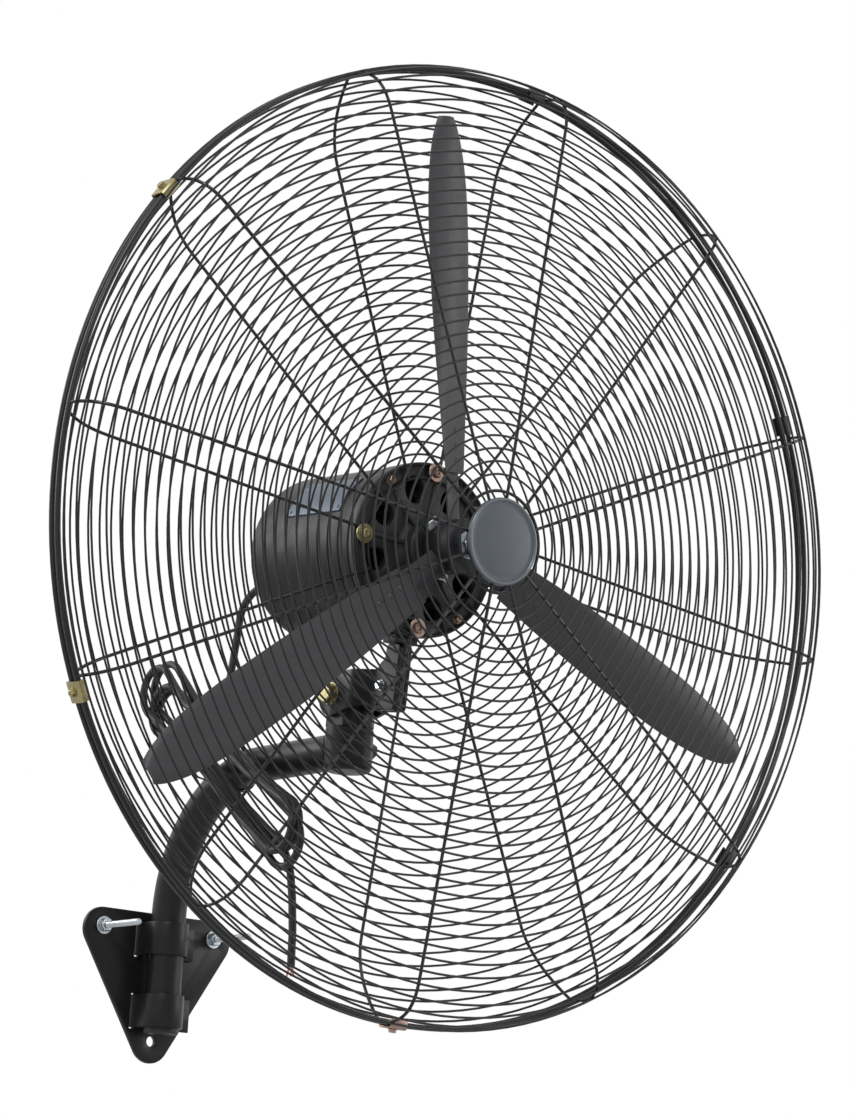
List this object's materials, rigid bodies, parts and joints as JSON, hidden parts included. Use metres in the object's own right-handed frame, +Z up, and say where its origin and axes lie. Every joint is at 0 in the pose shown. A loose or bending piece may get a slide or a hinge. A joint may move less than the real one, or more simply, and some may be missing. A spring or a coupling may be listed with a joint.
{
  "type": "wall mounted fan",
  "caption": "Industrial wall fan: round wire cage, twisted propeller blades and a drum motor on a swivelling, tilting bent pipe arm clamped to a wall plate.",
  "frame": {"origin": "middle of the wall plate's back face, level with the upper two fixing holes", "axes": "+Z up, +Y into the wall, so the fan blows towards -Y and +X is to the right of someone who looks at its front"},
  "size_m": [0.8076, 0.5023, 0.8293],
  "materials": {
    "black_paint": "black satin powder coat",
    "grey_paint": "dark grey satin paint",
    "black_wire": "black coated steel wire",
    "bright_zinc": "bright zinc plating",
    "yellow_zinc": "yellow zinc plating",
    "copper_zinc": "coppery zinc plating",
    "dark_steel": "dark machined steel",
    "badge_face": "dark blue grey, satin",
    "black_rubber": "matt black rubber"
  },
  "bodies": {
    "wall_bracket": {"wall_plate": "black_paint", "pipe_saddle": "black_paint", "upper_clamp_strap": "black_paint", "lower_clamp_strap": "black_paint", "upper_clamp_bolt": "dark_steel", "lower_clamp_bolt": "dark_steel", "anchor_stud_left": "bright_zinc", "anchor_stud_right": "bright_zinc", "anchor_washer_left": "bright_zinc", "anchor_washer_right": "bright_zinc", "anchor_nut_left": "bright_zinc", "anchor_nut_right": "bright_zinc"},
    "arm": {"arm_tube": "black_paint", "arm_end_plug": "black_rubber", "swivel_socket": "black_paint", "swivel_set_screw": "dark_steel", "cord_lower": "black_rubber", "cord_hank": "black_rubber", "cord_tie": "black_rubber", "cord_tail": "black_rubber"},
    "pivot": {"pivot_head": "black_paint", "tilt_bolt": "yellow_zinc", "tilt_nut": "yellow_zinc"},
    "head": {"bracket_cross_bolt": "bright_zinc", "centre_badge": "badge_face", "cord_gland": "black_rubber", "cord_upper": "black_rubber", "front_bearing": "dark_steel", "front_guard": "black_wire", "guard_screw_1": "copper_zinc", "guard_screw_2": "copper_zinc", "guard_screw_3": "copper_zinc", "guard_screw_4": "copper_zinc", "motor_bolt_1": "copper_zinc", "motor_bolt_2": "copper_zinc", "motor_bolt_3": "copper_zinc", "motor_bolt_4": "copper_zinc", "motor_foot": "black_paint", "motor_housing": "black_paint", "motor_shield": "grey_paint", "rear_bearing": "dark_steel", "rear_guard": "black_wire", "rim_clip_1": "yellow_zinc", "rim_clip_2": "yellow_zinc", "rim_clip_3": "yellow_zinc", "rim_clip_4": "yellow_zinc", "rim_clip_5": "yellow_zinc", "rim_clip_6": "yellow_zinc", "stator": "dark_steel", "tilt_cheek_left": "black_paint", "tilt_cheek_right": "black_paint"},
    "rotor": {"motor_shaft": "dark_steel", "rotor_core": "dark_steel", "blade_hub": "dark_steel", "hub_nut": "bright_zinc", "blade_1": "grey_paint", "blade_2": "grey_paint", "blade_3": "grey_paint"}
  },
  "joints": [
    {"name": "arm_swivel", "type": "hinge", "parent": "wall_bracket", "child": "arm", "pos_m": [-0.005, -0.027, 0], "axis": [0, 0, 1], "range_deg": [-20, 20]},
    {"name": "head_pan", "type": "hinge", "parent": "arm", "child": "pivot", "pos_m": [-0.005, -0.285, 0.141], "axis": [0, 0, 1], "range_deg": [-45, 45]},
    {"name": "head_tilt", "type": "hinge", "parent": "pivot", "child": "head", "pos_m": [-0.005, -0.285, 0.188], "axis": [1, 0, 0], "range_deg": [-20, 20]},
    {"name": "blade_spin", "type": "hinge", "parent": "head", "child": "rotor", "pos_m": [-0.005, -0.43, 0.30099], "axis": [0, -0.9962, -0.0872], "continuous": true}
  ]
}
